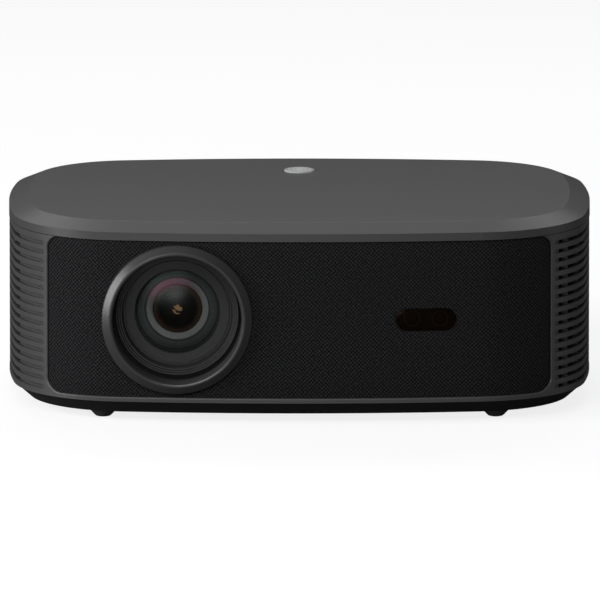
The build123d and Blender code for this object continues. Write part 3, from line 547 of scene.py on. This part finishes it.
def flatShape(name, outlines, strip):
    # fills flat outlines of (x, z) rounded boxes in millimetres, with the later ones as holes, and slices
    # them into upright strips so that the sheet can bend
    curve = bpy.data.curves.new(name, "CURVE")
    curve.dimensions, curve.fill_mode = "2D", "BOTH"
    for box in outlines:
        corners = []
        for cornerX, cornerZ, start in ((1, 1, 0), (-1, 1, 90), (-1, -1, 180), (1, -1, 270)):
            for step in range(box["steps"] + 1):
                angle = math.radians(start + 90 * step / box["steps"])
                corners.append((
                    box["x"] + cornerX * (box["width"] / 2 - box["round"]) + box["round"] * math.cos(angle),
                    box["z"] + cornerZ * (box["height"] / 2 - box["round"]) + box["round"] * math.sin(angle),
                ))
        line = curve.splines.new("POLY")
        line.points.add(len(corners) - 1)
        line.use_cyclic_u = True
        for point, (x, z) in zip(line.points, corners):
            point.co = (x * mm, z * mm, 0, 1)
    holder = bpy.data.objects.new(name, curve)
    bpy.context.scene.collection.objects.link(holder)
    filled = bpy.data.meshes.new_from_object(holder.evaluated_get(bpy.context.evaluated_depsgraph_get()))
    mesh = bmesh.new()
    mesh.from_mesh(filled)
    bpy.data.objects.remove(holder)
    bpy.data.curves.remove(curve)
    bpy.data.meshes.remove(filled)
    bmesh.ops.remove_doubles(mesh, verts=mesh.verts, dist=0.001 * mm)
    bmesh.ops.dissolve_limit(mesh, angle_limit=0.01, verts=mesh.verts, edges=mesh.edges)
    outer = outlines[0]
    acrossSheet = (outer["x"], outer["width"], (1, 0, 0))
    upSheet = (outer["z"], outer["height"], (0, 1, 0))
    for centre, reach, way in (acrossSheet, upSheet):
        cuts = int(reach / (strip if way[0] else 4 * strip))
        for cut in range(1, cuts):
            at = Vector(way) * (centre - reach / 2 + reach * cut / cuts) * mm
            bmesh.ops.bisect_plane(
                mesh, geom=mesh.verts[:] + mesh.edges[:] + mesh.faces[:], dist=0.0001 * mm,
                plane_co=at, plane_no=way,
            )
    return mesh


def bendToFront(mesh, inset):
    # stands the flat sheet up along the casing's front, and keeps its unrolled place as a UV map in metres
    weave = mesh.loops.layers.uv.new("weave")
    for face in mesh.faces:
        for loop in face.loops:
            x, z = loop.vert.co.x, loop.vert.co.y
            loop[weave].uv = (frontPoint(x / mm, inset)[1] * mm, z)
    for vert in mesh.verts:
        x, z = vert.co.x, vert.co.y
        vert.co = (x, frontPoint(x / mm, inset)[0] * mm, z)
    bmesh.ops.recalc_face_normals(mesh, faces=mesh.faces)
    if sum(face.normal.y for face in mesh.faces) > 0:
        bmesh.ops.reverse_faces(mesh, faces=mesh.faces)


def thicken(piece, depth, bevel=0.0):
    solid = piece.modifiers.new("thickness", "SOLIDIFY")
    solid.thickness, solid.offset, solid.use_even_offset = depth * mm, -1, True
    if bevel:
        edge = piece.modifiers.new("edge", "BEVEL")
        edge.width, edge.segments, edge.limit_method = bevel * mm, 3, "ANGLE"
        edge.angle_limit, edge.harden_normals = math.radians(50), False


# cloth
cloth = {
    "inset": 1.0, "thick": 0.5, "edge": 0.15, "width": 239.8, "low": 13.3, "top": 89.0, "round": 6.5,
    "ringHole": 36.15, "strip": 2.4,
}
pill = {
    "x": 60.5, "z": 51.0, "width": 28.8, "height": 10.7, "gap": 0.15, "inset": 0.8, "thick": 1.6,
    "edge": 0.35, "strip": 1.2,
}
hair = 0.001  # keeps a fully round end from closing on itself
clothHeight = cloth["top"] - cloth["low"]
ringHole = {
    "x": lensPlace[0], "z": lensPlace[1], "width": 2 * cloth["ringHole"], "height": 2 * cloth["ringHole"],
    "round": cloth["ringHole"] - hair, "steps": 24,
}
pillHole = {
    "x": pill["x"], "z": pill["z"], "width": pill["width"] + 2 * pill["gap"],
    "height": pill["height"] + 2 * pill["gap"], "round": pill["height"] / 2 + pill["gap"] - hair,
    "steps": 10,
}
clothEdge = {
    "x": 0.0, "z": (cloth["low"] + cloth["top"]) / 2, "width": cloth["width"], "height": clothHeight,
    "round": cloth["round"], "steps": 8,
}
clothMesh = flatShape("clothOutline", [clothEdge, ringHole, pillHole], cloth["strip"])
bendToFront(clothMesh, cloth["inset"])
grilleCloth = newPiece("grilleCloth", clothMesh, "grilleCloth", "casing", ["grille_cloth"])
thicken(grilleCloth, cloth["thick"], cloth["edge"])
print("cloth made")

# sensor window: a smoked pill with softened edges
pillShape = {**pillHole, "width": pill["width"], "height": pill["height"]}
pillShape["round"] = pill["height"] / 2 - hair
windowMesh = flatShape("pillOutline", [pillShape], pill["strip"])
bendToFront(windowMesh, pill["inset"])
sensorWindow = newPiece(
    "sensorWindow", windowMesh, "smokedAcrylic", "casing", ["sensor_window"]
)
thicken(sensorWindow, pill["thick"], pill["edge"])
print("sensor window made")

# the front lens, and what shows behind it: stepped baffle rings and the domed second group in their bore
optics = {
    "glassRadius": 22.3, "glassFront": -0.6, "glassRise": 3.6, "glassBack": 2.4, "backRise": 2.8,
    "ringOut": 22.2, "ringIn": 19.7, "ringDeep": 5.4, "lip": 0.4, "lipDeep": 0.8,
    "stepIn": 15.6, "stepDeep": 6.3, "stepThick": 0.6, "round": 0.2,
    "coneOut": 14.7, "coneIn": 11.9, "coneDeep": 7.9, "backDeep": 9.5, "backSlope": 1.0,
    "domeRadius": 11.7, "domeDeep": 4.6, "domeRise": 3.5, "domeThick": 6.5, "domeBevel": 0.3,
    "arcSteps": 14,
}


def domeArc(apex, rise, radius):
    # a shallow dome's section, from the axis out to its rim
    reach = [radius * step / optics["arcSteps"] for step in range(optics["arcSteps"] + 1)]
    return [(apex + rise * (r / radius) ** 2, r) for r in reach]


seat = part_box("front_lens")[0].y - optics["glassFront"] * mm
opticsCentre = Vector((lensCentre.x, seat, lensCentre.z))
glassMesh = bmesh.new()
glassLine = domeArc(optics["glassFront"], optics["glassRise"], optics["glassRadius"])
glassLine += domeArc(optics["glassBack"], optics["backRise"], optics["glassRadius"])[::-1]
turnProfile(glassMesh, glassLine, opticsCentre, (0, 1, 0))
closeMesh(glassMesh)
newPiece("frontLens", glassMesh, "coatedGlass", "lens_carriage", ["front_lens"])
baffleMesh = bmesh.new()
turnProfile(
    baffleMesh,
    [
        (optics["ringDeep"], optics["ringOut"]),
        (optics["ringDeep"], optics["ringIn"]),
        (optics["ringDeep"] + optics["lipDeep"], optics["ringIn"] - optics["lip"]),
        (optics["stepDeep"] - 1.5 * optics["round"], optics["stepIn"] + optics["round"]),
        (optics["stepDeep"], optics["stepIn"]),
        (optics["stepDeep"] + optics["stepThick"], optics["stepIn"]),
        (optics["stepDeep"] + optics["stepThick"], optics["coneOut"]),
        (optics["coneDeep"] - optics["round"], optics["coneIn"] + optics["round"]),
        (optics["coneDeep"], optics["coneIn"]),
        (optics["backDeep"], optics["coneIn"]),
        (optics["backDeep"] + optics["backSlope"], optics["ringOut"]),
    ],
    opticsCentre, (0, 1, 0),
)
closeMesh(baffleMesh)
newPiece("lensBaffle", baffleMesh, "baffleBlack", "lens_carriage", ["lens_baffle"])
domeMesh = bmesh.new()
domeLine = domeArc(optics["domeDeep"], optics["domeRise"], optics["domeRadius"])
domeBack = optics["domeDeep"] + optics["domeRise"] + optics["domeThick"]
domeLine += [
    (domeBack - optics["domeBevel"], optics["domeRadius"]),
    (domeBack, optics["domeRadius"] - optics["domeBevel"]),
    (domeBack, 0),
]
turnProfile(domeMesh, domeLine, opticsCentre, (0, 1, 0))
closeMesh(domeMesh)
newPiece("secondGroup", domeMesh, "innerGlass", "lens_carriage", ["middle_lens"])
print("lens interior made")

# focusing eyes behind the window: a pale rim on the front of each module
eye = {"rim": 4.0, "bore": 3.35, "proud": 0.2, "turns": 48}
for node in ("camera_module", "distance_module"):
    low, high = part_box(node)
    front = Vector(((low.x + high.x) / 2, low.y, (low.z + high.z) / 2))
    rim = bmesh.new()
    turnProfile(
        rim, [(0, eye["bore"]), (0, eye["rim"]), (eye["proud"], eye["rim"]), (eye["proud"], eye["bore"])],
        front, (0, -1, 0), eye["turns"],
    )
    closeMesh(rim)
    newPiece(node.replace("_module", "Rim"), rim, "eyeRim", "casing")
print("focusing eyes made")

# stage: pale floor and soft boxes
stage = {
    "floorSize": 6.0, "floorTone": "8c8c8c", "bounceTone": "6a6a6a", "glow": 0.82, "worldTone": "ffffff",
    "worldGlow": 0.05,
}
floorMesh = bmesh.new()
bmesh.ops.create_grid(floorMesh, x_segments=1, y_segments=1, size=stage["floorSize"])
floorData = bpy.data.meshes.new("floor")
floorMesh.to_mesh(floorData)
floorMesh.free()
floor = bpy.data.objects.new("floor", floorData)
bpy.context.scene.collection.objects.link(floor)
# the floor and the backdrop look white but send little light back, as in a lit sweep with black flags
floorMaterial, tree = newMaterial("paleFloor")
seen = addNode(tree, "ShaderNodeLightPath").outputs["Is Camera Ray"]
paper = addNode(
    tree, "ShaderNodeBsdfPrincipled",
    {
        "Base Color": hexColour(stage["floorTone"]), "Roughness": 0.9,
        "Emission Color": hexColour("ffffff"),
        "Emission Strength": stage["glow"],
    },
)
dull = addNode(tree, "ShaderNodeBsdfDiffuse", {"Color": hexColour(stage["bounceTone"])})
finishMaterial(
    tree, addNode(tree, "ShaderNodeMixShader", links={0: seen, 1: dull.outputs[0], 2: paper.outputs[0]})
)
floorData.materials.append(floorMaterial)

world = bpy.data.worlds.new("studio")
world.use_nodes = True
bpy.context.scene.world = world
tree = world.node_tree
backdrop = tree.nodes["Background"]
backdrop.inputs["Color"].default_value = hexColour(stage["worldTone"])
seen = addNode(tree, "ShaderNodeLightPath").outputs["Is Camera Ray"]
glow = addNode(tree, "ShaderNodeMapRange", {"To Min": stage["worldGlow"], "To Max": 1.0}, {"Value": seen})
tree.links.new(glow.outputs[0], backdrop.inputs["Strength"])
bpy.context.scene.view_settings.view_transform = "Standard"

lamps = {
    "keyLamp": {"place": (-1.4, -0.5, 0.42), "size": (0.5, 0.9), "power": 15},
    "frontLamp": {"place": (-0.42, -1.35, 0.95), "size": (1.2, 0.6), "power": 12},
    "topLamp": {"place": (0.0, 1.0, 1.0), "size": (1.6, 0.6), "power": 6},
    "rimLamp": {"place": (1.5, 0.1, 0.4), "size": (0.3, 1.0), "power": 2.6},
    "cardLamp": {"place": (-0.25, -1.5, 0.18), "size": (0.64, 0.47), "power": 2.2},
}
lampAim = (0, 0, 0.05)
for name, lamp in lamps.items():
    data = bpy.data.lights.new(name, "AREA")
    data.shape = "RECTANGLE"
    data.size, data.size_y = lamp["size"]
    data.energy = lamp["power"]
    lampObject = bpy.data.objects.new(name, data)
    bpy.context.scene.collection.objects.link(lampObject)
    lampObject.location = lamp["place"]
    toward = Vector(lampAim) - Vector(lamp["place"])
    lampObject.rotation_euler = toward.to_track_quat("-Z", "Y").to_euler()
print("stage lit")
